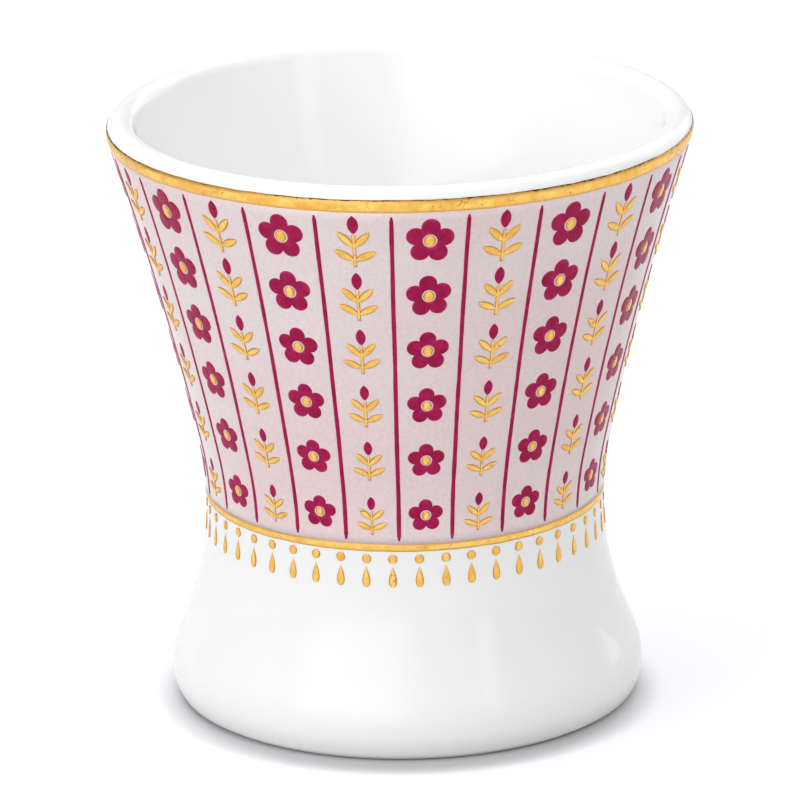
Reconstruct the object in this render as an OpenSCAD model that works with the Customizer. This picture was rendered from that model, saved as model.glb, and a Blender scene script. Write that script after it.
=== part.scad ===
// Porcelain egg cup: a flaring egg bowl above a narrow waist and a hollow swelling foot.
// The fired clay wears two coats of glaze. On the glaze lie a pale ground, raised enamel
// motifs and gilding, and each of these is a thin solid of its own.
// Millimetres, +Z up, origin at the centre of the circle that the cup stands on.

/* [Cup] */
// Height from the table to the top of the lip
cup_h = 51.8; // [47:0.1:60]
// Largest radius of the lip
rim_r = 25; // [23:0.1:28]
// Radius of the lip's rounded edge
lip_r = 1.2; // [0.8:0.05:1.5]
// How far the waist stands in from the lip
waist_inset = 7.8; // [7.2:0.1:9.2]
// Height of the waist
waist_z = 17.5; // [15.5:0.1:19.5]
// Radius of the long curve from the waist up to the lip, which looks nearly straight
flare_r = 315; // [260:1:600]
// How far the foot's widest level stands in from the lip
foot_inset = 4.5; // [2.5:0.1:5.3]
// Height of the foot's widest level
foot_z = 2.4; // [1.8:0.1:2.6]
// Radius of the foot's swelling curve above that level
swell_r = 6.8; // [5.8:0.1:8]
// Radius of the curve that tucks the foot in below it
tuck_r = 3.9; // [3.6:0.1:5]

/* [Inside] */
// Wall of the bowl, measured level just above the curve of its floor
bowl_wall = 2.4; // [1.8:0.1:3]
// Height of the bowl's floor
bowl_z = 20; // [18.5:0.1:23]
// Radius of the curve between the bowl's wall and its floor
bowl_curve_r = 12; // [8:0.5:13]
// Thickness between the bowl's floor and the ceiling of the hollow foot
floor_t = 3; // [2.4:0.1:4]
// Wall of the foot, measured level
foot_wall = 3.5; // [3:0.1:4.4]
// Radius of the curve between the hollow's wall and its ceiling
ceiling_curve_r = 4; // [2:0.1:6]
// Radius on both edges of the clay ring that the cup stands on
ring_edge_r = 0.75; // [0.6:0.05:0.9]

/* [Glaze] */
// Thickness of the glaze coats
glaze_t = 0.15; // [0.1:0.01:0.2]
// Angle of the ring's rounded edges that is wiped clear of glaze, in degrees from below
wiped_angle = 50; // [40:1:55]

/* [Gold bands] */
// Thickness of the gold
gold_t = 0.08; // [0.06:0.01:0.2]
// Height of the band under the lip, up to where the lip's rounded edge begins
rim_band_h = 0.48; // [0.3:0.01:1.5]
// Angle that this band climbs up the lip's rounded edge, in degrees above level
rim_band_angle = 17; // [0:1:30]
// Height of the band at the waist
waist_band_h = 0.7; // [0.4:0.1:1.5]
// Height of that band's upper edge above the table
waist_band_z = 18.6; // [17:0.1:21]

/* [Ground and enamel] */
// Thickness of the pale ground
ground_t = 0.05; // [0.03:0.01:0.1]
// Thickness of the enamel
enamel_t = 0.06; // [0.05:0.01:0.2]
// Width of an enamel stripe
stripe_w = 0.36; // [0.2:0.02:0.6]
// Bare ground left between the stripes' ends and the gold bands
stripe_gap = 0.3; // [0.1:0.05:1]
// Bare ground left between gold and enamel within a motif
motif_gap = 0.1; // [0.06:0.01:0.15]

/* [Bead and drop border] */
// Diameter of a bead
bead_d = 0.8; // [0.5:0.05:1]
// Length of a drop
drop_l = 1.85; // [1.2:0.05:3]
// Width of a drop
drop_w = 1; // [0.6:0.05:1.4]
// Bare glaze left between the band and the beads, and between beads and drops
border_gap = 0.25; // [0.1:0.01:0.5]

/* [Hidden] */
// Rows of motifs up the wall, panels round it, and beads or drops round the border
rows = 6;
panels = 24;
drops = 48;
petals = 5;
panel_angle = 360 / panels;
drop_angle = 360 / drops;
// Turn of the first panel, which keeps every motif and stripe clear of the angle zero
first_angle = 5.6;

// A rosette's diameter and a sprig's height, as shares of the room for a motif. The room
// is the panel's width at the row, or this share of the row's height where that is less.
rosette_d_share = 0.66;
sprig_h_share = 0.76;
row_room_share = 1.25;
// A rosette's petals, hub and gold eye, as shares of its diameter
petal_d_share = 0.39;
petal_place_share = 0.305;
hub_d_share = 0.5;
eye_d_share = 0.24;
// A sprig's parts, as shares of its height. The leaves' places are counted from its foot.
stem_w_share = 0.06;
bud_l_share = 0.36;
bud_w_share = 0.2;
leaf_l_share = 0.42;
leaf_w_share = 0.15;
low_leaf_share = 0.12;
high_leaf_share = 0.38;
low_leaf_angle = 64;
high_leaf_angle = 46;
// The corners of a drop, and the power by which its top narrows
drop_corners = 20;
drop_power = 1.5;

// Height of wall and angle of rounded edge that one facet of the outline spans, at most
facet_h = 1.6;
facet_angle = 7.5;
// Overrun of the cutters past the skin that they cut
overrun = 2;
clay_colour = "ivory";
glaze_colour = "white";
ground_colour = "mistyrose";
enamel_colour = "mediumvioletred";
gold_colour = "goldenrod";
$fn = 96;

// The outline of the cup, in radius and height, is a chain of arcs. An arc is its centre
// and its radius, and the radius is negative where the surface is hollow. A place on an arc
// is found by the angle of its normal, and holds its point and that normal, so that a coat
// of any thickness follows the same places exactly.
function on_arc(arc, angle) =
    let (normal = [cos(angle), sin(angle)])
    [arc[0] + arc[1] * normal, normal];

function angle_of(v) = atan2(v[1], v[0]);

// Places along an arc from one normal's angle up to the next, with or without the last
function along(arc, from, to, whole = false) =
    let (n = ceil(abs(to - from) / facet_angle))
    [for (i = [0 : whole ? n : n - 1]) on_arc(arc, from + (to - from) * i / n)];

// Centre of the arc that touches two circles inside or outside. The reaches are the
// distances from the circles' centres to it.
function meeting(p, p_reach, q, q_reach) =
    let (
        d = q - p,
        l = norm(d),
        x = (l * l + p_reach * p_reach - q_reach * q_reach) / (2 * l),
        y = sqrt(p_reach * p_reach - x * x))
    p + (x * d + y * [-d[1], d[0]]) / l;

// Outer arcs: tuck, foot, waist, flare and lip, each running smoothly into the next
waist_r = rim_r - waist_inset;
foot_r = rim_r - foot_inset;
foot_c = [foot_r - swell_r, foot_z];
waist_rise = waist_z - foot_z;
waist_reach = waist_r - foot_c[0];
hollow_r = (pow(waist_rise, 2) + pow(waist_reach, 2) - pow(swell_r, 2))
    / (2 * (foot_r - waist_r));
waist_c = [waist_r + hollow_r, waist_z];
lip_c = [rim_r - lip_r, cup_h - lip_r];
flare_c = meeting(lip_c, flare_r + lip_r, waist_c, flare_r - hollow_r);
tuck_arc = [[foot_r - tuck_r, foot_z], tuck_r];
foot_arc = [foot_c, swell_r];
waist_arc = [waist_c, -hollow_r];
flare_arc = [flare_c, -flare_r];
lip_arc = [lip_c, lip_r];
foot_top_angle = angle_of(waist_c - foot_c);
lip_base_angle = angle_of(flare_c - lip_c);
foot_top_z = on_arc(foot_arc, foot_top_angle)[0][1];
flare_z = on_arc(flare_arc, angle_of(flare_c - waist_c))[0][1];
lip_base_z = on_arc(lip_arc, lip_base_angle)[0][1];

// The place on the outer wall at a height
function wall_arc(z) =
    z < foot_top_z ? foot_arc : z < flare_z ? waist_arc : z < lip_base_z ? flare_arc : lip_arc;

function on_wall(z) =
    let (arc = wall_arc(z))
    on_arc(arc, asin((z - arc[0][1]) / arc[1]));

// Bowl: a straight wall from the lip's edge down to the curve of the floor
bowl_curve_z = bowl_z + bowl_curve_r;
bowl_top = [on_wall(bowl_curve_z)[0][0] - bowl_wall, bowl_curve_z];
bowl_slope = angle_of(lip_c - bowl_top) + asin(lip_r / norm(lip_c - bowl_top));
bowl_angle = bowl_slope + 90;
bowl_arc = [bowl_top - [bowl_curve_r / sin(bowl_slope), 0], -bowl_curve_r];

// Hollow under the foot: a straight wall that leans with the waist, and a flat ceiling
hollow_foot = [foot_r - foot_wall, foot_z];
hollow_slope = angle_of([waist_r - foot_r, waist_rise]);
hollow_angle = hollow_slope + 90 - 360;
function beside_hollow(z, gap) =
    [hollow_foot[0] + (cos(hollow_slope) * (z - foot_z) + gap) / sin(hollow_slope), z];
ceiling_z = bowl_z - floor_t;
ceiling_arc = [beside_hollow(ceiling_z - ceiling_curve_r, -ceiling_curve_r), -ceiling_curve_r];

// Ring that the cup stands on, whose clay touches the table between two rounded edges
ring_glaze_r = ring_edge_r + glaze_t;
inner_edge = [beside_hollow(ring_edge_r, ring_glaze_r), ring_glaze_r];
outer_edge_reach = sqrt(pow(tuck_r - ring_glaze_r, 2) - pow(foot_z - ring_edge_r, 2));
outer_edge = [[tuck_arc[0][0] + outer_edge_reach, ring_edge_r], ring_glaze_r];
tuck_base_angle = angle_of(outer_edge[0] - tuck_arc[0]);

// Heights of the bands and of the border
ground_top_z = lip_base_z - rim_band_h;
waist_band_base_z = waist_band_z - waist_band_h;
bead_z = waist_band_base_z - border_gap - bead_d / 2;
drop_z = bead_z - bead_d / 2 - border_gap - drop_l / 2;
row_h = (ground_top_z - waist_band_z) / rows;

// Places on the outer wall between the foot's curve and the lip. Every band begins and
// ends at one of them.
function steps(from, to) =
    let (n = ceil((to - from) / facet_h))
    [for (i = [0 : n - 1]) from + (to - from) * i / n];
wall_heights = concat(
    steps(foot_top_z, waist_band_base_z),
    steps(waist_band_base_z, waist_band_z),
    steps(waist_band_z, ground_top_z),
    steps(ground_top_z, lip_base_z));

// The places on the wall that cover the heights from one to another, and no more
function wall_between(from, to) =
    let (edges = concat(foot_top_z, wall_heights, lip_base_z))
    [for (i = [1 : len(wall_heights)]) if (edges[i + 1] > from && edges[i - 1] < to) on_wall(edges[i])];

// The whole outline in three stretches, from the hollow's ceiling to the bowl's floor
underside_places = concat(
    [[[0, ceiling_z], [0, -1]]],
    along(ceiling_arc, -90, hollow_angle, whole = true),
    along(inner_edge, hollow_angle, -90 - wiped_angle));
ring_places = concat(
    along(inner_edge, -90 - wiped_angle, -90, whole = true),
    along(outer_edge, -90, -90 + wiped_angle));
rim_band_places = concat(
    wall_between(ground_top_z, lip_base_z),
    along(lip_arc, lip_base_angle, rim_band_angle, whole = true));
outer_places = concat(
    along(outer_edge, -90 + wiped_angle, tuck_base_angle),
    along(tuck_arc, tuck_base_angle, 0),
    along(foot_arc, 0, foot_top_angle),
    [for (z = wall_heights) on_wall(z)],
    along(lip_arc, lip_base_angle, rim_band_angle),
    along(lip_arc, rim_band_angle, bowl_angle, whole = true),
    along(bowl_arc, bowl_angle, 90, whole = true),
    [[[0, bowl_z], [0, 1]]]);

function offset_by(places, t) = [for (place = places) place[0] + t * place[1]];

function backwards(points) = [for (i = [len(points) - 1 : -1 : 0]) points[i]];

// A coat between two depths, measured outwards from the glazed surface
module coat(places, from, to) {
    rotate_extrude() {
        polygon(concat(offset_by(places, to), backwards(offset_by(places, from))));
    }
}

// Shapes painted on the wall at a height: the coat there, cut by level prisms round the cup
module painted(z, h, first, count, from, to) {
    intersection() {
        coat(wall_between(z - h / 2, z + h / 2), from, to);
        for (k = [0 : count - 1]) {
            rotate([0, 0, first + k * 360 / count])
                translate([waist_r - overrun, 0, z])
                    rotate([90, 0, 90])
                        linear_extrude(rim_r - waist_r + 2 * overrun) children();
        }
    }
}

// Pointed oval that stands on its centre
module pointed_oval(l, w) {
    r = (l * l + w * w) / (4 * w);
    intersection() {
        translate([r - w / 2, 0]) circle(r);
        translate([w / 2 - r, 0]) circle(r);
    }
}

module rosette(d) {
    difference() {
        union() {
            circle(d * hub_d_share / 2);
            for (k = [0 : petals - 1]) {
                rotate(90 + k * 360 / petals)
                    translate([d * petal_place_share, 0])
                        circle(d * petal_d_share / 2);
            }
        }
        circle(d * eye_d_share / 2 + motif_gap);
    }
}

module leaf_pair(h, place_share, angle) {
    for (side = [-1, 1]) {
        translate([0, h * (place_share - 1 / 2)])
            rotate(side * angle)
                translate([0, h * leaf_l_share / 2])
                    pointed_oval(h * leaf_l_share, h * leaf_w_share);
    }
}

module sprig(h) {
    stem_l = h * (1 - bud_l_share) - motif_gap;
    translate([-h * stem_w_share / 2, -h / 2]) square([h * stem_w_share, stem_l]);
    leaf_pair(h, low_leaf_share, low_leaf_angle);
    leaf_pair(h, high_leaf_share, high_leaf_angle);
}

module bud(h) {
    translate([0, h * (1 - bud_l_share) / 2])
        pointed_oval(h * bud_l_share, h * bud_w_share);
}

// Drop that hangs from its narrow top
module drop() {
    polygon([for (i = [0 : drop_corners - 1])
        let (t = 360 * i / drop_corners)
        [drop_w / 2 * sin(t) * pow(sin(t / 2), drop_power), drop_l / 2 * cos(t)]]);
}

function row_z(row) = waist_band_z + (row - 1 / 2) * row_h;
function panel_w(row) = 2 * PI * on_wall(row_z(row))[0][0] / panels;
function motif_room(row) = min(panel_w(row), row_room_share * row_h);

module porcelain_body() {
    color(clay_colour)
        rotate_extrude()
            polygon(offset_by(concat(underside_places, ring_places, outer_places), -glaze_t));
}

module outer_glaze() {
    color(glaze_colour) coat(outer_places, -glaze_t, 0);
}

module underside_glaze() {
    color(glaze_colour) coat(concat(underside_places, [ring_places[0]]), -glaze_t, 0);
}

module pale_ground() {
    color(ground_colour) coat(wall_between(waist_band_z, ground_top_z), 0, ground_t);
}

module rim_gold_band() {
    color(gold_colour) coat(rim_band_places, 0, gold_t);
}

module waist_gold_band() {
    color(gold_colour) coat(wall_between(waist_band_base_z, waist_band_z), 0, gold_t);
}

module gold_beads() {
    color(gold_colour)
        painted(bead_z, bead_d, drop_angle / 2, drops, 0, gold_t) circle(bead_d / 2);
}

module gold_drops() {
    color(gold_colour)
        painted(drop_z, drop_l, drop_angle / 2, drops, 0, gold_t) drop();
}

module enamel_stripes() {
    h = ground_top_z - waist_band_z - 2 * stripe_gap;
    color(enamel_colour)
        painted((ground_top_z + waist_band_z) / 2, h, first_angle - panel_angle / 2, panels,
                ground_t, ground_t + enamel_t)
            square([stripe_w, h], center = true);
}

// Rosettes stand in every other panel, with sprigs in the panels between them
module enamel_rosettes(row) {
    d = motif_room(row) * rosette_d_share;
    color(enamel_colour)
        painted(row_z(row), d, first_angle, panels / 2, ground_t, ground_t + enamel_t)
            rosette(d);
}

module gold_eyes(row) {
    d = motif_room(row) * rosette_d_share * eye_d_share;
    color(gold_colour)
        painted(row_z(row), d, first_angle, panels / 2, ground_t, ground_t + gold_t)
            circle(d / 2);
}

module gold_sprigs(row) {
    h = motif_room(row) * sprig_h_share;
    color(gold_colour)
        painted(row_z(row), h, first_angle + panel_angle, panels / 2,
                ground_t, ground_t + gold_t)
            sprig(h);
}

module enamel_buds(row) {
    h = motif_room(row) * sprig_h_share;
    color(enamel_colour)
        painted(row_z(row), h, first_angle + panel_angle, panels / 2,
                ground_t, ground_t + enamel_t)
            bud(h);
}

porcelain_body();
outer_glaze();
underside_glaze();
pale_ground();
rim_gold_band();
waist_gold_band();
gold_beads();
gold_drops();
enamel_stripes();
for (row = [1:rows]) {
    enamel_rosettes(row);
    gold_eyes(row);
    gold_sprigs(row);
    enamel_buds(row);
}
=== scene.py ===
# Looks of the porcelain egg cup: fine meshes for its clay, glaze, pale ground, enamel and
# gilding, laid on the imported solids, with their materials, the light and the camera.
# Sizes are in millimetres, as on the real cup, and MM turns them into Blender's metres.
import math
import random

import bpy
from mathutils import Matrix, Vector, noise

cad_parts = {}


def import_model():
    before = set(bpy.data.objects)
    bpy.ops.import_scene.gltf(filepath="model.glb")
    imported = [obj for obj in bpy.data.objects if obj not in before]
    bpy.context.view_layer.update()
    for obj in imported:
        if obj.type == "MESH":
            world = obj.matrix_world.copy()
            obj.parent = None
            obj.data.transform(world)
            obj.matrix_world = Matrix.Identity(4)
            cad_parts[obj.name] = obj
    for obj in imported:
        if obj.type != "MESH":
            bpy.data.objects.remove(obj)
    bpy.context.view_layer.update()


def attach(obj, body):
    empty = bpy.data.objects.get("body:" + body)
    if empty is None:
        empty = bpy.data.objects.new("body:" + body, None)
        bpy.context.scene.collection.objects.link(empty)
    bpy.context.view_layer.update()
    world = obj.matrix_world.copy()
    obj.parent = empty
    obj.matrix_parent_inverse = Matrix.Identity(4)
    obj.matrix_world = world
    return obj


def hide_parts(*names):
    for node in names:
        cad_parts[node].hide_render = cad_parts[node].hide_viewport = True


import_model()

MM = 0.001

# Cup
CUP_H = 51.8
RIM_R = 25.0
LIP_R = 1.2
WAIST_R = 17.2
WAIST_Z = 17.5
FLARE_R = 315.0
FOOT_R = 20.5
FOOT_Z = 2.4
SWELL_R = 6.8
TUCK_R = 3.9
BOWL_WALL = 2.4
BOWL_Z = 20.0
BOWL_CURVE_R = 12.0
FLOOR_T = 3.0
FOOT_WALL = 3.5
CEILING_CURVE_R = 4.0
RING_EDGE_R = 0.75

# Coats
GLAZE_T = 0.15
GLAZE_FEATHER = 0.5
GROUND_T = 0.05
ENAMEL_T = 0.06
GOLD_T = 0.08
WIPED_ANGLE = 50.0
# How deep a coat's underside sits below the surface that it lies on
SINK = 0.02

# Height of the dark, uneven line along the upper edge of the band under the lip, and how
# fast its lower edge fades
DARK_LINE_H = 0.08
DARK_LINE_FADE = 0.02

# Bands and border
RIM_BAND_H = 0.48
RIM_BAND_ANGLE = 17.0
WAIST_BAND_H = 0.7
WAIST_BAND_Z = 18.6
BEAD_D = 0.8
DROP_L = 1.85
DROP_W = 1.0
DROP_POWER = 1.5
BORDER_GAP = 0.25
STRIPE_W = 0.36
STRIPE_GAP = 0.3
STRIPE_END_SHARE = 0.4
MOTIF_GAP = 0.1

# Pattern
ROWS = 6
PANELS = 24
DROPS = 48
PETALS = 5
PANEL_ANGLE = 360 / PANELS
DROP_ANGLE = 360 / DROPS
FIRST_ANGLE = 5.6

# Shares of the panel's width, of the rosette's diameter and of the sprig's height
ROSETTE_D_SHARE = 0.66
SPRIG_H_SHARE = 0.76
PETAL_D_SHARE = 0.39
PETAL_PLACE_SHARE = 0.305
HUB_D_SHARE = 0.5
EYE_D_SHARE = 0.24
STEM_W_SHARE = 0.06
BUD_L_SHARE = 0.36
BUD_W_SHARE = 0.2
LEAF_L_SHARE = 0.42
LEAF_W_SHARE = 0.15
LOW_LEAF_SHARE = 0.12
HIGH_LEAF_SHARE = 0.38
LOW_LEAF_ANGLE = 64.0
HIGH_LEAF_ANGLE = 46.0

# Unevenness of the painter's hand, in millimetres, in shares of a width or in degrees
MOTIF_SHAKE = 0.02
RIM_BAND_SHAKE = 0.05
WAIST_BAND_SHAKE = 0.04
STRIPE_SWAY = 0.03
STRIPE_SWELL = 0.16
STEM_SWELL = 0.1
ROSETTE_TURN = 4.0
LEAF_TURN = 3.0
BUD_TURN = 2.0
EDGE_SHAKE = 0.15
# Radius, in waves, of the circle on which a band's noise is read, so that it closes up
BAND_WAVES = 14.0
# How much lower a rosette's paint is between its petals, as a share of its height
PETAL_FOLD = 0.28

# Fineness of the meshes: numbers of steps, longest steps in degrees and millimetres, and the
# least distance between two points of an outline
AROUND = 288
BAND_AROUND = 720
PETAL_STEPS = 24
OVAL_STEPS = 16
DROP_STEPS = 20
STEM_STEPS = 20
ARC_STEP = 3.0
WALL_STEP = 0.9
STRIPE_STEP = 0.45
LEAST_STEP = 0.001
# Where ovals, discs and drops start and end, of 180 degrees from tip to tip. They stop
# short of the tips, where they have no width.
OVAL_ENDS = (7, 173)
DISC_ENDS = (8, 172)
DROP_ENDS = (10, 176)
# Places across a stroke of paint, from one edge to the other, and how near each is to an edge
ACROSS = (-1.0, -0.94, -0.78, -0.42, 0.0, 0.42, 0.78, 0.94, 1.0)
EDGES = [abs(v) for v in ACROSS]

# Brightness of the sky for the light, and for reflections outside its glows
SKY = 0.65
MIRRORED_SKY = 0.8
# Glows of the sky that reflections show. Each has, in degrees, its way round from -Y, its
# height above level, its half width, its half height and the width of its soft edge, and
# then how much brighter it is than the sky.
GLOWS = (
    (-27, 24, 16, 14, 22, 1.35),
    (43, 18, 3, 15, 4, 0.8),
    (170, 52, 40, 20, 12, 1.2),
    (138, 15, 16, 12, 12, 0.9),
)
# Lamps: the place of each, its width, its height and its power in watts
LAMPS = {
    "Key": ((-830, -480, 420), 700, 600, 4.3),
    "Fill": ((340, -720, 640), 700, 600, 3.3),
    "Top": ((-120, 250, 730), 700, 700, 2.1),
}
LAMP_AIM = (0, 0, 30)

# The floor: its colour for the light and its colour as it is seen, each in the open and close
# beside the cup, where painted shade makes it darker, and the colour and strength of the glow
# that lifts it to white where it is seen
FLOOR_HALF = 3000
FLOOR_COLOUR = (0.6, 0.6, 0.6)
FLOOR_DARK = (0.5, 0.49, 0.49)
SHOWN_FLOOR = (0.48, 0.485, 0.5)
SHOWN_DARK = (0.52, 0.525, 0.54)
FLOOR_GLOW = (0.96, 0.97, 1.0)
FLOOR_LIFT = 0.52
# The floor's shade close beside the cup. Each place looks as far as the reach, towards +Y and
# an angle up. Its shade is full where the first share of that view is open, and there is none
# from the second on.
CONTACT_REACH = 3.4
CONTACT_ANGLE = 20.0
CONTACT_SHARES = (0.5, 0.9)

# Camera, fitted to the photograph's outline. It looks along +Y.
CAMERA_DISTANCE = 549.5
CAMERA_HEIGHT = 201.15
CAMERA_PITCH = 17.693
CAMERA_ROLL = -0.86
CAMERA_YAW = -0.0344
FOCAL_PX = 6673.2
FRAME_PX = 800.0
SENSOR = 36.0


# Outline of the cup, in radius and height. A place is a point and its normal.

class Arc:
    """A stretch of the outline. The radius is negative where the surface is hollow."""

    def __init__(self, centre, radius):
        self.centre = Vector(centre)
        self.radius = radius

    def at(self, degrees):
        angle = math.radians(degrees)
        normal = Vector((math.cos(angle), math.sin(angle)))
        return self.centre + self.radius * normal, normal

    def at_height(self, z):
        return self.at(math.degrees(math.asin((z - self.centre.y) / self.radius)))

    def along(self, start, end):
        """Places from one normal's angle to another's, both included."""
        count = math.ceil(abs(end - start) / ARC_STEP)
        return [self.at(start + (end - start) * i / count) for i in range(count + 1)]


def angle_of(v):
    return math.degrees(math.atan2(v[1], v[0]))


def meeting(p, p_reach, q, q_reach):
    """Centre of the arc that touches two circles, from its distance to each centre."""
    d = q - p
    x = (d.length_squared + p_reach ** 2 - q_reach ** 2) / (2 * d.length)
    y = math.sqrt(p_reach ** 2 - x ** 2)
    return p + (x * d + y * Vector((-d.y, d.x))) / d.length


tuck = Arc((FOOT_R - TUCK_R, FOOT_Z), TUCK_R)
foot = Arc((FOOT_R - SWELL_R, FOOT_Z), SWELL_R)
waist_rise = WAIST_Z - FOOT_Z
waist_reach = WAIST_R - foot.centre.x
hollow_r = (waist_rise ** 2 + waist_reach ** 2 - SWELL_R ** 2) / (2 * (FOOT_R - WAIST_R))
waist = Arc((WAIST_R + hollow_r, WAIST_Z), -hollow_r)
lip = Arc((RIM_R - LIP_R, CUP_H - LIP_R), LIP_R)
flare = Arc(meeting(lip.centre, FLARE_R + LIP_R, waist.centre, FLARE_R - hollow_r), -FLARE_R)
foot_top_angle = angle_of(waist.centre - foot.centre)
lip_base_angle = angle_of(flare.centre - lip.centre)
foot_top_z = foot.at(foot_top_angle)[0].y
flare_z = flare.at(angle_of(flare.centre - waist.centre))[0].y
lip_base_z = lip.at(lip_base_angle)[0].y


def on_wall(z):
    """The place on the outer wall at a height, from the foot up on to the lip."""
    if z < foot_top_z:
        return foot.at_height(z)
    if z < flare_z:
        return waist.at_height(z)
    if z < lip_base_z:
        return flare.at_height(z)
    return lip.at_height(z)


bowl_curve_z = BOWL_Z + BOWL_CURVE_R
bowl_top = Vector((on_wall(bowl_curve_z)[0].x - BOWL_WALL, bowl_curve_z))
bowl_slope = angle_of(lip.centre - bowl_top)
bowl_slope += math.degrees(math.asin(LIP_R / (lip.centre - bowl_top).length))
bowl_angle = bowl_slope + 90
bowl_side = BOWL_CURVE_R / math.sin(math.radians(bowl_slope))
bowl = Arc((bowl_top.x - bowl_side, bowl_curve_z), -BOWL_CURVE_R)

hollow_slope = math.radians(angle_of((WAIST_R - FOOT_R, waist_rise)))
hollow_angle = math.degrees(hollow_slope) + 90 - 360


def beside_hollow(z, gap):
    """A point at a height, and at a distance outside the wall of the hollow foot."""
    lean = math.cos(hollow_slope) * (z - FOOT_Z)
    return FOOT_R - FOOT_WALL + (lean + gap) / math.sin(hollow_slope), z


ceiling_z = BOWL_Z - FLOOR_T
ceiling = Arc(beside_hollow(ceiling_z - CEILING_CURVE_R, -CEILING_CURVE_R), -CEILING_CURVE_R)
ring_glaze_r = RING_EDGE_R + GLAZE_T
inner_edge = Arc(beside_hollow(RING_EDGE_R, ring_glaze_r), ring_glaze_r)
outer_edge_reach = math.sqrt((TUCK_R - ring_glaze_r) ** 2 - (FOOT_Z - RING_EDGE_R) ** 2)
outer_edge = Arc((tuck.centre.x + outer_edge_reach, RING_EDGE_R), ring_glaze_r)
tuck_base_angle = angle_of(outer_edge.centre - tuck.centre)

ground_top_z = lip_base_z - RIM_BAND_H
rim_band_top_z = lip.at(RIM_BAND_ANGLE)[0].y
waist_band_base_z = WAIST_BAND_Z - WAIST_BAND_H
bead_z = waist_band_base_z - BORDER_GAP - BEAD_D / 2
drop_z = bead_z - BEAD_D / 2 - BORDER_GAP - DROP_L / 2
row_h = (ground_top_z - WAIST_BAND_Z) / ROWS


def steps(start, end, step):
    """Numbers from start to end, both included, at most a step apart."""
    count = max(1, math.ceil(abs(end - start) / step))
    return [start + (end - start) * i / count for i in range(count + 1)]


underside_places = [(Vector((0, ceiling_z)), Vector((0, -1)))]
underside_places += ceiling.along(-90, hollow_angle)
underside_places += inner_edge.along(hollow_angle, -90 - WIPED_ANGLE)
ring_places = inner_edge.along(-90 - WIPED_ANGLE, -90) + outer_edge.along(-90, -90 + WIPED_ANGLE)
outer_places = outer_edge.along(-90 + WIPED_ANGLE, tuck_base_angle)
outer_places += tuck.along(tuck_base_angle, 0)
outer_places += foot.along(0, foot_top_angle)
outer_places += [on_wall(z) for z in steps(foot_top_z, lip_base_z, WALL_STEP)]
outer_places += lip.along(lip_base_angle, bowl_angle)
outer_places += bowl.along(bowl_angle, 90)
outer_places += [(Vector((0, BOWL_Z)), Vector((0, 1)))]


# Mesh building

def new_piece(name, verts, faces, slot, *nodes):
    """A smooth mesh piece, in metres, that stands for CAD nodes and rides on the cup."""
    mesh = bpy.data.meshes.new(name)
    mesh.from_pydata([v * MM for v in verts], [], faces)
    mesh.validate()
    mesh.shade_smooth()
    piece = bpy.data.objects.new(name, mesh)
    bpy.context.scene.collection.objects.link(piece)
    mesh.materials.append(MATERIALS[slot])
    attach(piece, "root")
    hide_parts(*nodes)
    return piece


def new_paint(name, relief, slot, *nodes):
    """The piece of a relief, with how near each vertex lies to its stroke's edge."""
    piece = new_piece(name, relief.verts, relief.faces, slot, *nodes)
    edge = piece.data.attributes.new("edge", "FLOAT", "POINT")
    edge.data.foreach_set("value", relief.edges)


def without_repeats(points):
    """The points with those left out that lie on the one before."""
    kept = []
    for point in points:
        if not kept or (point - kept[-1]).length > LEAST_STEP:
            kept.append(point)
    return kept


def turned(point, angle):
    """A point of the outline, turned to an angle round the axis."""
    a = math.radians(angle)
    return Vector((point.x * math.cos(a), point.x * math.sin(a), point.y))


def lathe(name, outline, slot, *nodes):
    """A closed solid of revolution, from an outline that starts and ends on the axis or
    goes all the way round."""
    outline = without_repeats(outline)
    verts, rows = [], []
    for point in outline:
        if point.x < LEAST_STEP:
            rows.append([len(verts)] * AROUND)
            verts.append(Vector((0, 0, point.y)))
        else:
            rows.append(list(range(len(verts), len(verts) + AROUND)))
            verts += [turned(point, 360 * k / AROUND) for k in range(AROUND)]
    on_axis = outline[0].x < LEAST_STEP and outline[-1].x < LEAST_STEP
    faces = []
    for i in range(len(rows) - 1 if on_axis else len(rows)):
        low, high = rows[i], rows[(i + 1) % len(rows)]
        for k in range(AROUND):
            n = (k + 1) % AROUND
            corners = [low[k], low[n], high[n], high[k]]
            face = [c for j, c in enumerate(corners) if c != corners[j - 1]]
            if len(face) > 2:
                faces.append(face)
    new_piece(name, verts, faces, slot, *nodes)


def coat(name, places, depth, feathered, slot, *nodes):
    """A glaze coat below a run of places. One of its ends, as feathered says, thins out and
    the other lies on the axis."""
    lengths = [0.0]
    for (a, _), (b, _) in zip(places, places[1:]):
        lengths.append(lengths[-1] + (b - a).length)
    top = []
    for (point, normal), length in zip(places, lengths):
        run = length if feathered == "start" else lengths[-1] - length
        thin = 1 - min(1.0, run / GLAZE_FEATHER)
        top.append(point - normal * depth * thin ** 3)
    base = [point - normal * depth for point, normal in places]
    lathe(name, base[::-1] + top if feathered == "start" else top[::-1] + base, slot, *nodes)


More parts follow.
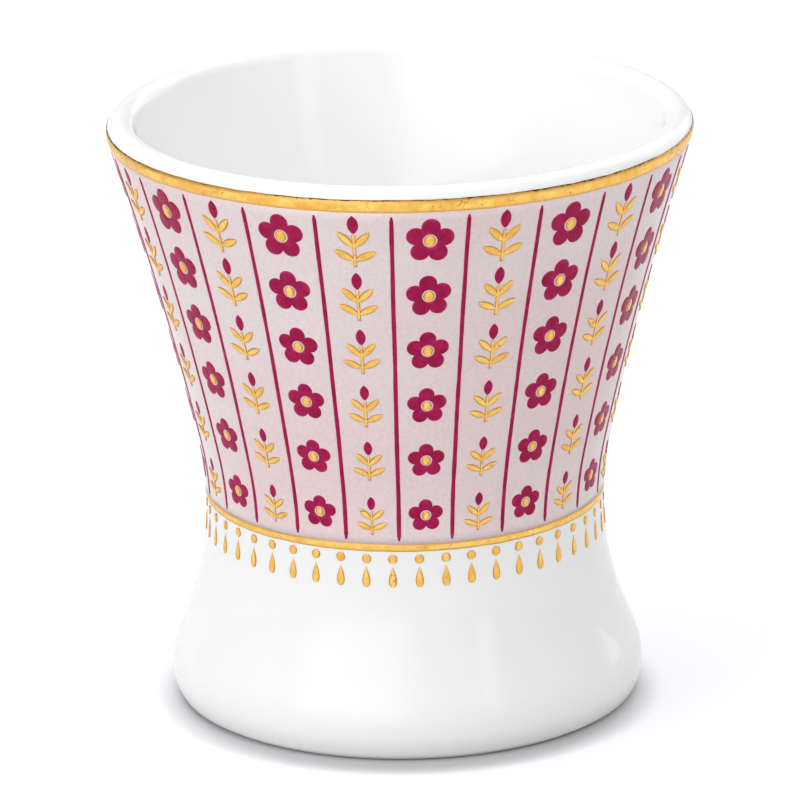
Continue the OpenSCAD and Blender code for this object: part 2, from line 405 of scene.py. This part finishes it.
class Relief:
    """Closed shells that lie on the outer wall like paint."""

    def __init__(self, base, height):
        self.base = base
        self.height = height
        self.verts = []
        self.faces = []
        self.edges = []

    def add(self, grid, z, angle, closed=False):
        """A shell from a grid of (x to the right, y up, height from 0 to 1), as seen from
        outside, about a height and an angle. A closed grid's rows go round."""
        placed = []
        for row in grid:
            turns = [math.degrees(math.asin(x / on_wall(z + y)[0].x)) for x, y, _ in row]
            placed.append([(angle + turn, z + y, h) for turn, (_, y, h) in zip(turns, row)])
        self.add_placed(placed, closed)

    def add_placed(self, grid, closed):
        """A shell from a grid of (angle, height on the wall, height from 0 to 1)."""
        rows, columns = len(grid), len(grid[0])
        first, low = len(self.verts), rows * columns
        for on_top in (True, False):
            for row in grid:
                self.edges += EDGES
                for angle, z, h in row:
                    place, normal = on_wall(z)
                    lift = self.base + self.height * h if on_top else self.base - SINK
                    self.verts.append(turned(place + normal * lift, angle))

        def index(i, j, side=0):
            return first + side + (i % rows) * columns + j

        for i in range(rows if closed else rows - 1):
            for j in range(columns - 1):
                self.faces.append([index(i, j), index(i, j + 1), index(i + 1, j + 1), index(i + 1, j)])
                self.faces.append([index(i + 1, j, low), index(i + 1, j + 1, low),
                                   index(i, j + 1, low), index(i, j, low)])
            for j, way in ((0, 1), (columns - 1, -1)):
                rim = [index(i, j), index(i + 1, j), index(i + 1, j, low), index(i, j, low)]
                self.faces.append(rim[::way])
        if not closed:
            for i, way in ((0, -1), (rows - 1, 1)):
                for j in range(columns - 1):
                    rim = [index(i, j), index(i, j + 1), index(i, j + 1, low), index(i, j, low)]
                    self.faces.append(rim[::way])


def dome(v):
    """Height of a paint stroke at a share of its half width, steep at its edge."""
    return math.sqrt(max(0.0, 1 - v ** 4))


def swept(start, end, count):
    """Angles in radians from start to end in degrees, both included."""
    return [math.radians(start + (end - start) * i / count) for i in range(count + 1)]


def stroke(middle, half_width, turn=0.0, origin=(0.0, 0.0)):
    """A grid for a stroke along a middle line of points, as wide as half_width gives at each
    of them, turned about the origin of its own and then moved to a place."""
    widest = max(half_width)
    a = math.radians(turn)
    grid = []
    for (x, y), half in zip(middle, half_width):
        height = math.sqrt(min(1.0, 2 * half / widest))
        row = []
        for v in ACROSS:
            px, py = x + v * half, y
            row.append((origin[0] + px * math.cos(a) - py * math.sin(a),
                        origin[1] + px * math.sin(a) + py * math.cos(a), height * dome(v)))
        grid.append(row)
    return grid


def pointed_oval(length, width, turn=0.0, origin=(0.0, 0.0), from_end=False):
    """A grid for a pointed oval along y, on its centre or standing on its lower end."""
    r = (length ** 2 + width ** 2) / (4 * width)
    middle, half = [], []
    for t in swept(*OVAL_ENDS, OVAL_STEPS):
        y = -length / 2 * math.cos(t)
        middle.append((0.0, y + (length / 2 if from_end else 0)))
        half.append(math.sqrt(r ** 2 - y ** 2) - r + width / 2)
    return stroke(middle, half, turn, origin)


def disc(d):
    """A grid for a round dot on its centre."""
    middle = [(0.0, -d / 2 * math.cos(t)) for t in swept(*DISC_ENDS, OVAL_STEPS)]
    return stroke(middle, [math.sqrt((d / 2) ** 2 - y ** 2) for _, y in middle])


def drop():
    """A grid for a drop that hangs from its narrow top."""
    middle, half = [], []
    for t in swept(*DROP_ENDS, DROP_STEPS):
        middle.append((0.0, DROP_L / 2 * math.cos(t)))
        half.append(DROP_W / 2 * math.sin(t) * math.sin(t / 2) ** DROP_POWER)
    return stroke(middle[::-1], half[::-1])


def rosette_reach(angle, d):
    """How far a rosette reaches from its centre in a direction, in degrees from a petal."""
    hub = d * HUB_D_SHARE / 2
    off = math.radians((angle + 180 / PETALS) % (360 / PETALS) - 180 / PETALS)
    petal, place = d * PETAL_D_SHARE / 2, d * PETAL_PLACE_SHARE
    inside = petal ** 2 - (place * math.sin(off)) ** 2
    if inside < 0:
        return hub
    return max(hub, place * math.cos(off) + math.sqrt(inside))


def rosette(d, turn):
    """A grid that goes round a rosette, from its eye's gap out to its petals' edge."""
    inner = d * EYE_D_SHARE / 2 + MOTIF_GAP
    count = PETAL_STEPS * PETALS
    grid = []
    for i in range(count):
        angle = 360 * i / count
        outer = rosette_reach(angle, d)
        a = math.radians(90 + angle + turn)
        ridge = abs(math.cos(math.radians(angle * PETALS / 2)))
        fold = 1 - PETAL_FOLD + PETAL_FOLD * ridge
        row = []
        for v in ACROSS:
            reach = (inner + outer) / 2 + v * (outer - inner) / 2
            row.append((reach * math.cos(a), reach * math.sin(a), fold * dome(v)))
        grid.append(row)
    return grid


def shaky(grid, rng):
    """The grid, very slightly moved, as a brush would place it."""
    dx, dy = (rng.uniform(-MOTIF_SHAKE, MOTIF_SHAKE) for _ in range(2))
    return [[(x + dx, y + dy, h) for x, y, h in row] for row in grid]


def row_z(row):
    """Height of a row of motifs, counted from 1 at the waist."""
    return WAIST_BAND_Z + (row - 0.5) * row_h


def panel_w(row):
    return 2 * math.pi * on_wall(row_z(row))[0].x / PANELS


def wavy(z, angle, shake):
    """The height, shifted a little by a smooth line that closes up round the cup."""
    a = math.radians(angle)
    return z + shake * noise.noise(Vector((BAND_WAVES * math.cos(a), BAND_WAVES * math.sin(a), z)))


def band(name, low_z, high_z, shake, *nodes):
    """A gold band round the wall, with slightly uneven edges."""
    relief = Relief(0, GOLD_T)
    grid = []
    for k in range(BAND_AROUND):
        angle = 360 * k / BAND_AROUND
        low, high = wavy(low_z, angle, shake), wavy(high_z, angle, shake)
        grid.append([(angle, (low + high) / 2 - v * (high - low) / 2, dome(v)) for v in ACROSS])
    relief.add_placed(grid, closed=True)
    new_paint(name, relief, "gilding", *nodes)


# Materials. Colours are linear, and the scale of a noise or a grid is in cells to a metre.

def shader(name, **sockets):
    """A new material and its Principled shader, with the sockets that are alike all over."""
    material = bpy.data.materials.new(name)
    material.use_nodes = True
    bsdf = material.node_tree.nodes["Principled BSDF"]
    for socket, value in sockets.items():
        bsdf.inputs[socket.replace("_", " ")].default_value = value
    return material, bsdf


def node(material, kind, **settings):
    made = material.node_tree.nodes.new(kind)
    for name, value in settings.items():
        setattr(made, name, value)
    return made


def link(material, source, target):
    material.node_tree.links.new(source, target)


def put(material, value, socket):
    """Link an output to a socket, or set the socket to a number or a colour."""
    if isinstance(value, bpy.types.NodeSocket):
        link(material, value, socket)
    elif isinstance(value, tuple):
        socket.default_value = (*value, 1.0)
    else:
        socket.default_value = value


def place_of(material):
    return node(material, "ShaderNodeTexCoord").outputs["Object"]


def noise_of(material, scale, detail=2.0, roughness=0.5):
    texture = node(material, "ShaderNodeTexNoise")
    texture.inputs["Scale"].default_value = scale
    texture.inputs["Detail"].default_value = detail
    texture.inputs["Roughness"].default_value = roughness
    link(material, place_of(material), texture.inputs["Vector"])
    return texture.outputs["Fac"]


def remap(material, source, from_low, from_high, to_low=0, to_high=1, kind="LINEAR"):
    """The source between two numbers, carried over to between two others and held there."""
    ramp = node(material, "ShaderNodeMapRange", interpolation_type=kind)
    link(material, source, ramp.inputs["Value"])
    ramp.inputs["From Min"].default_value = from_low
    ramp.inputs["From Max"].default_value = from_high
    ramp.inputs["To Min"].default_value = to_low
    ramp.inputs["To Max"].default_value = to_high
    return ramp.outputs["Result"]


def mixed(material, factor, a, b):
    """Colour a where the factor is 0 and b where it is 1. Each is a colour or an output."""
    mix = node(material, "ShaderNodeMix", data_type="RGBA")
    link(material, factor, mix.inputs["Factor"])
    put(material, a, mix.inputs[6])
    put(material, b, mix.inputs[7])
    return mix.outputs[2]


def blended(material, factor, a, b):
    """The number a where the factor is 0 and b where it is 1. Each is a number or an output."""
    mix = node(material, "ShaderNodeMix", data_type="FLOAT")
    link(material, factor, mix.inputs["Factor"])
    put(material, a, mix.inputs[2])
    put(material, b, mix.inputs[3])
    return mix.outputs[0]


def computed(material, operation, *terms):
    """What a Math node makes of one or two terms. Each is a number or an output."""
    maths = node(material, "ShaderNodeMath", operation=operation)
    for term, socket in zip(terms, maths.inputs):
        put(material, term, socket)
    return maths.outputs[0]


def product(material, a, b):
    return computed(material, "MULTIPLY", a, b)


def summed(material, a, b):
    return computed(material, "ADD", a, b)


def bumped(material, bsdf, height, depth):
    bump = node(material, "ShaderNodeBump")
    bump.inputs["Strength"].default_value = 1.0
    bump.inputs["Distance"].default_value = depth * MM
    link(material, height, bump.inputs["Height"])
    link(material, bump.outputs["Normal"], bsdf.inputs["Normal"])


def specks(material, scale, size, share):
    """1 on round specks in a share of a grid's cells, else 0. Their size is in cells."""
    cells = node(material, "ShaderNodeTexVoronoi")
    cells.inputs["Scale"].default_value = scale
    link(material, place_of(material), cells.inputs["Vector"])
    near = remap(material, cells.outputs["Distance"], size, size * 0.6)
    split = node(material, "ShaderNodeSeparateColor")
    link(material, cells.outputs["Color"], split.inputs["Color"])
    few = remap(material, split.outputs["Red"], 1 - share, 1 - share + 0.01)
    return product(material, near, few)


def glazed_porcelain():
    material, bsdf = shader("Glazed_Porcelain", IOR=1.52, Subsurface_Weight=0.12)
    bsdf.inputs["Subsurface Radius"].default_value = Vector((2.2, 2.0, 1.8)) * MM
    bsdf.inputs["Subsurface Scale"].default_value = 1.0
    tone = remap(material, noise_of(material, 70, 3), 0.3, 0.7)
    white = mixed(material, tone, (0.86, 0.865, 0.862), (0.885, 0.885, 0.878))
    spotted = mixed(material, specks(material, 110, 0.012, 0.12), white, (0.45, 0.43, 0.4))
    link(material, spotted, bsdf.inputs["Base Color"])
    gloss = remap(material, noise_of(material, 260), 0.3, 0.7, 0.03, 0.07)
    link(material, gloss, bsdf.inputs["Roughness"])
    bumped(material, bsdf, noise_of(material, 120), 0.02)
    return material


def bare_porcelain():
    material, bsdf = shader("Bare_Porcelain", IOR=1.5)
    grain = noise_of(material, 2600, 4, 0.65)
    tone = remap(material, grain, 0.35, 0.65)
    clay = mixed(material, tone, (0.72, 0.69, 0.63), (0.79, 0.765, 0.71))
    link(material, clay, bsdf.inputs["Base Color"])
    link(material, remap(material, grain, 0.3, 0.7, 0.7, 0.9), bsdf.inputs["Roughness"])
    bumped(material, bsdf, grain, 0.04)
    return material


def pale_ground():
    material, bsdf = shader("Pale_Ground", IOR=1.52)
    grain = remap(material, noise_of(material, 3200, 3, 0.6), 0.35, 0.65)
    drift = remap(material, noise_of(material, 48, 3), 0.4, 0.6)
    cool = mixed(material, grain, (0.7, 0.6, 0.608), (0.755, 0.655, 0.657))
    warm = mixed(material, grain, (0.695, 0.548, 0.55), (0.75, 0.603, 0.602))
    link(material, mixed(material, drift, warm, cool), bsdf.inputs["Base Color"])
    gloss = remap(material, noise_of(material, 500), 0.3, 0.7, 0.1, 0.2)
    link(material, gloss, bsdf.inputs["Roughness"])
    bumped(material, bsdf, noise_of(material, 900, 3), 0.006)
    return material


def edge_of(material, grain, start, end):
    """0 on the middle of a stroke of paint and 1 at its edge, with a slightly uneven border."""
    near = node(material, "ShaderNodeAttribute", attribute_name="edge").outputs["Fac"]
    shake = remap(material, grain, 0, 1, -EDGE_SHAKE, EDGE_SHAKE)
    return remap(material, summed(material, near, shake), start, end)


def magenta_enamel():
    material, bsdf = shader("Magenta_Enamel", IOR=1.54, Specular_IOR_Level=0.08)
    flow = remap(material, noise_of(material, 900, 3), 0.32, 0.68)
    grain = remap(material, noise_of(material, 5200), 0.3, 0.7)
    deep = mixed(material, grain, (0.25, 0.004, 0.046), (0.31, 0.006, 0.061))
    light = mixed(material, grain, (0.35, 0.008, 0.073), (0.41, 0.014, 0.091))
    thick = mixed(material, flow, deep, light)
    thin = edge_of(material, flow, 0.72, 1.1)
    link(material, mixed(material, thin, thick, (0.44, 0.03, 0.13)), bsdf.inputs["Base Color"])
    link(material, remap(material, flow, 0, 1, 0.2, 0.34), bsdf.inputs["Roughness"])
    bumped(material, bsdf, noise_of(material, 1800, 3), 0.01)
    return material


def cracks(material, scale, width):
    """1 on thin lines of a fine, broken net of cracks, else 0. Their width is in cells."""
    cells = node(material, "ShaderNodeTexVoronoi", feature="DISTANCE_TO_EDGE")
    cells.inputs["Scale"].default_value = scale
    link(material, place_of(material), cells.inputs["Vector"])
    near = remap(material, cells.outputs["Distance"], width, width * 0.4)
    broken = remap(material, noise_of(material, scale / 2), 0.58, 0.64)
    return product(material, near, broken)


def dark_top_line(material):
    """1 on the uneven dark line along the upper edge of the band under the lip, else 0."""
    split = node(material, "ShaderNodeSeparateXYZ")
    link(material, place_of(material), split.inputs["Vector"])
    shake = remap(material, noise_of(material, 2200, 3), 0.3, 0.7, -DARK_LINE_H * MM, DARK_LINE_H * MM)
    edge = (rim_band_top_z - DARK_LINE_H) * MM
    shaken = summed(material, split.outputs["Z"], shake)
    height = remap(material, shaken, edge, edge + DARK_LINE_FADE * MM)
    stretches = remap(material, noise_of(material, 130, 3, 0.6), 0.42, 0.5)
    return product(material, height, stretches)


def gilding():
    material, bsdf = shader("Gilding", Metallic=1.0)
    drift = remap(material, noise_of(material, 560, 6, 0.7), 0.32, 0.64)
    full = mixed(material, drift, (0.76, 0.38, 0.065), (0.99, 0.66, 0.175))
    # Darker towards the edge of each stroke: partly the gold's own brown edge, partly painted shade
    # where the raised stroke rounds down to the ground
    thin = edge_of(material, drift, 0.5, 1.05)
    grain = noise_of(material, 4200, 4, 0.7)
    worn = remap(material, grain, 0.62, 0.7, 0, 0.75)
    gold = mixed(material, thin, full, (0.46, 0.19, 0.04))
    gold = mixed(material, worn, gold, (0.34, 0.14, 0.04))
    gold = mixed(material, cracks(material, 1100, 0.026), gold, (0.42, 0.19, 0.05))
    gold = mixed(material, specks(material, 1500, 0.15, 0.1), gold, (0.25, 0.1, 0.03))
    # A dark, uneven line along the upper edge of the band under the lip
    gold = mixed(material, dark_top_line(material), gold, (0.12, 0.05, 0.02))
    link(material, gold, bsdf.inputs["Base Color"])
    link(material, remap(material, grain, 0.3, 0.7, 0.26, 0.46), bsdf.inputs["Roughness"])
    bumped(material, bsdf, grain, 0.02)
    return material


MATERIALS = {
    "bare_porcelain": bare_porcelain(),
    "clear_glaze": glazed_porcelain(),
    "pale_ground": pale_ground(),
    "magenta_enamel": magenta_enamel(),
    "gilding": gilding(),
}


# Pieces

def cup():
    body = underside_places + ring_places + outer_places
    lathe("Porcelain_Body", [point - normal * GLAZE_T for point, normal in body],
          "bare_porcelain", "porcelain_body")
    coat("Outer_Glaze", outer_places, GLAZE_T, "start", "clear_glaze", "outer_glaze")
    coat("Underside_Glaze", underside_places, GLAZE_T, "end", "clear_glaze", "underside_glaze")


def ground():
    """The pale ground, whose edges run on a little way under the two bands."""
    under = WAIST_BAND_H / 4
    places = [on_wall(z) for z in steps(WAIST_BAND_Z - under, ground_top_z + under, WALL_STEP)]
    base = [point - normal * SINK for point, normal in places]
    top = [point + normal * GROUND_T for point, normal in places]
    lathe("Pale_Ground", base[::-1] + top, "pale_ground", "pale_ground")


def bands():
    band("Rim_Gold_Band", ground_top_z, rim_band_top_z, RIM_BAND_SHAKE, "rim_gold_band")
    band("Waist_Gold_Band", waist_band_base_z, WAIST_BAND_Z, WAIST_BAND_SHAKE, "waist_gold_band")


def border():
    beads, drops = Relief(0, GOLD_T), Relief(0, GOLD_T)
    rng = random.Random(11)
    for k in range(DROPS):
        angle = DROP_ANGLE * (k + 0.5)
        beads.add(shaky(disc(BEAD_D), rng), bead_z, angle)
        drops.add(shaky(drop(), rng), drop_z, angle)
    new_paint("Gold_Beads", beads, "gilding", "gold_beads")
    new_paint("Gold_Drops", drops, "gilding", "gold_drops")


def stripes():
    relief = Relief(GROUND_T, ENAMEL_T)
    low, high = WAIST_BAND_Z + STRIPE_GAP, ground_top_z - STRIPE_GAP
    for k in range(PANELS):
        middle, half = [], []
        for z in steps(low, high, STRIPE_STEP):
            # The last two numbers give each stripe a noise of its own
            sway = noise.noise(Vector((z * 0.25, k * 5.3, 1.7)))
            swell = noise.noise(Vector((z * 0.6, k * 3.1, 8.2)))
            middle.append((STRIPE_SWAY * sway, z))
            half.append(STRIPE_W / 2 * (1 + STRIPE_SWELL * swell))
        half[0] = half[-1] = STRIPE_END_SHARE * STRIPE_W / 2
        relief.add(stroke(middle, half), 0, FIRST_ANGLE + PANEL_ANGLE * (k - 0.5))
    new_paint("Enamel_Stripes", relief, "magenta_enamel", "enamel_stripes")


def rosettes(row):
    d = panel_w(row) * ROSETTE_D_SHARE
    flowers, eyes = Relief(GROUND_T, ENAMEL_T), Relief(GROUND_T, GOLD_T)
    rng = random.Random(100 + row)
    for k in range(0, PANELS, 2):
        angle = FIRST_ANGLE + PANEL_ANGLE * k
        turn = rng.uniform(-ROSETTE_TURN, ROSETTE_TURN)
        flowers.add(rosette(d, turn), row_z(row), angle, closed=True)
        eyes.add(shaky(disc(d * EYE_D_SHARE), rng), row_z(row), angle)
    new_paint(f"Enamel_Rosettes_{row}", flowers, "magenta_enamel", f"enamel_rosettes_{row}")
    new_paint(f"Gold_Eyes_{row}", eyes, "gilding", f"gold_eyes_{row}")


def sprigs(row):
    h = panel_w(row) * SPRIG_H_SHARE
    gold, buds = Relief(GROUND_T, GOLD_T), Relief(GROUND_T, ENAMEL_T)
    rng = random.Random(200 + row)
    stem_top = h * (0.5 - BUD_L_SHARE) - MOTIF_GAP
    stem = [(0.0, y) for y in steps(-h / 2, stem_top, h / STEM_STEPS)]
    for k in range(1, PANELS, 2):
        angle = FIRST_ANGLE + PANEL_ANGLE * k
        swells = [rng.uniform(1 - STEM_SWELL, 1 + STEM_SWELL) for _ in stem]
        stem_half = [h * STEM_W_SHARE / 2 * swell for swell in swells]
        gold.add(stroke(stem, stem_half), row_z(row), angle)
        for share, spread in ((LOW_LEAF_SHARE, LOW_LEAF_ANGLE), (HIGH_LEAF_SHARE, HIGH_LEAF_ANGLE)):
            for side in (-1, 1):
                turn = side * spread + rng.uniform(-LEAF_TURN, LEAF_TURN)
                leaf = pointed_oval(h * LEAF_L_SHARE, h * LEAF_W_SHARE, turn,
                                    (0.0, h * (share - 0.5)), from_end=True)
                gold.add(leaf, row_z(row), angle)
        turn = rng.uniform(-BUD_TURN, BUD_TURN)
        bud = pointed_oval(h * BUD_L_SHARE, h * BUD_W_SHARE, turn, (0.0, h * (1 - BUD_L_SHARE) / 2))
        buds.add(bud, row_z(row), angle)
    new_paint(f"Gold_Sprigs_{row}", gold, "gilding", f"gold_sprigs_{row}")
    new_paint(f"Enamel_Buds_{row}", buds, "magenta_enamel", f"enamel_buds_{row}")


# Set

def floor():
    """A pale floor that looks white to the camera, keeps the cup's soft shadow and has painted shade
    close beside it.
    """
    corners = [Vector((x, y, 0)) for x, y in ((-1, -1), (1, -1), (1, 1), (-1, 1))]
    mesh = bpy.data.meshes.new("Floor")
    mesh.from_pydata([corner * FLOOR_HALF * MM for corner in corners], [], [(0, 1, 2, 3)])
    stage = bpy.data.objects.new("Floor", mesh)
    bpy.context.scene.collection.objects.link(stage)
    material, bsdf = shader("Floor", Roughness=0.9, Specular_IOR_Level=0.0)
    path = node(material, "ShaderNodeLightPath").outputs
    seen = computed(material, "MAXIMUM", path["Is Camera Ray"], path["Is Glossy Ray"])
    nearby = node(material, "ShaderNodeAmbientOcclusion", samples=16)
    nearby.inputs["Distance"].default_value = CONTACT_REACH * MM
    leaning = node(material, "ShaderNodeCombineXYZ")
    leaning.inputs["Y"].default_value = math.cos(math.radians(CONTACT_ANGLE))
    leaning.inputs["Z"].default_value = math.sin(math.radians(CONTACT_ANGLE))
    link(material, leaning.outputs["Vector"], nearby.inputs["Normal"])
    clear = remap(material, nearby.outputs["AO"], *CONTACT_SHARES)
    lit = mixed(material, clear, FLOOR_DARK, FLOOR_COLOUR)
    shown = mixed(material, clear, SHOWN_DARK, SHOWN_FLOOR)
    link(material, mixed(material, seen, lit, shown), bsdf.inputs["Base Color"])
    put(material, FLOOR_GLOW, bsdf.inputs["Emission Color"])
    lift = remap(material, product(material, clear, seen), 0, 1, 0, FLOOR_LIFT)
    link(material, lift, bsdf.inputs["Emission Strength"])
    mesh.materials.append(material)


def glow(sky, facing, height, half_width, half_height, edge, gain):
    """A soft-edged panel of brightness in the sky, as a softbox is seen in a reflection."""
    turn = node(sky, "ShaderNodeVectorRotate", rotation_type="Z_AXIS")
    link(sky, node(sky, "ShaderNodeTexCoord").outputs["Generated"], turn.inputs["Vector"])
    turn.inputs["Angle"].default_value = math.radians(-facing)
    split = node(sky, "ShaderNodeSeparateXYZ")
    link(sky, turn.outputs["Vector"], split.inputs["Vector"])
    ahead = computed(sky, "MULTIPLY", split.outputs["Y"], -1.0)
    across = computed(sky, "ARCTAN2", split.outputs["X"], ahead)
    rise = computed(sky, "ARCSINE", split.outputs["Z"])
    upright = computed(sky, "SUBTRACT", rise, math.radians(height))
    shares = []
    for angle, half in ((across, half_width), (upright, half_height)):
        size = computed(sky, "ABSOLUTE", angle)
        ends = math.radians(half + edge), math.radians(half)
        shares.append(remap(sky, size, *ends, kind="SMOOTHSTEP"))
    return product(sky, product(sky, *shares), gain)


def world():
    """White to the camera, a dimmer sky for the light, and soft lamps in the reflections."""
    sky = bpy.data.worlds.new("Studio")
    bpy.context.scene.world = sky
    sky.use_nodes = True
    background = sky.node_tree.nodes["Background"]
    background.inputs["Color"].default_value = (1, 1, 1, 1)
    path = node(sky, "ShaderNodeLightPath").outputs
    mirrored = computed(sky, "MAXIMUM", path["Is Glossy Ray"], path["Is Transmission Ray"])
    reflected = MIRRORED_SKY
    for panel in GLOWS:
        reflected = summed(sky, glow(sky, *panel), reflected)
    strength = blended(sky, mirrored, SKY, reflected)
    strength = blended(sky, path["Is Camera Ray"], strength, 1.0)
    link(sky, strength, background.inputs["Strength"])


def lights():
    """Soft lamps. Reflections show the glows of the sky in their place, which have no edge."""
    for name, (place, width, height, power) in LAMPS.items():
        lamp = bpy.data.lights.new(name, "AREA")
        lamp.shape = "RECTANGLE"
        lamp.size = width * MM
        lamp.size_y = height * MM
        lamp.energy = power
        light = bpy.data.objects.new(name, lamp)
        light.location = Vector(place) * MM
        aim = Vector(LAMP_AIM) - Vector(place)
        light.rotation_euler = aim.to_track_quat("-Z", "Y").to_euler()
        light.visible_glossy = False
        bpy.context.scene.collection.objects.link(light)


def camera():
    """The photograph's camera, from its distance, height, pitch, roll and focal length."""
    pitch, roll, yaw = (math.radians(a) for a in (CAMERA_PITCH, CAMERA_ROLL, CAMERA_YAW))
    level = Vector((math.sin(yaw), math.cos(yaw), 0))
    ahead = level * math.cos(pitch) - Vector((0, 0, math.sin(pitch)))
    right = Vector((level.y, -level.x, 0))
    up = right.cross(ahead)
    level_right = right * math.cos(roll) + up * math.sin(roll)
    level_up = up * math.cos(roll) - right * math.sin(roll)
    turn = Matrix((level_right, level_up, -ahead)).transposed().to_4x4()
    lens = bpy.data.cameras.new("Camera")
    lens.sensor_width = SENSOR
    lens.lens = FOCAL_PX / FRAME_PX * SENSOR
    view = bpy.data.objects.new("Camera", lens)
    view.matrix_world = Matrix.Translation(Vector((0, -CAMERA_DISTANCE, CAMERA_HEIGHT)) * MM) @ turn
    bpy.context.scene.collection.objects.link(view)
    bpy.context.scene.camera = view


cup()
ground()
bands()
border()
stripes()
for row in range(1, ROWS + 1):
    rosettes(row)
    sprigs(row)
floor()
world()
lights()
camera()
bpy.context.scene.view_settings.view_transform = "Standard"
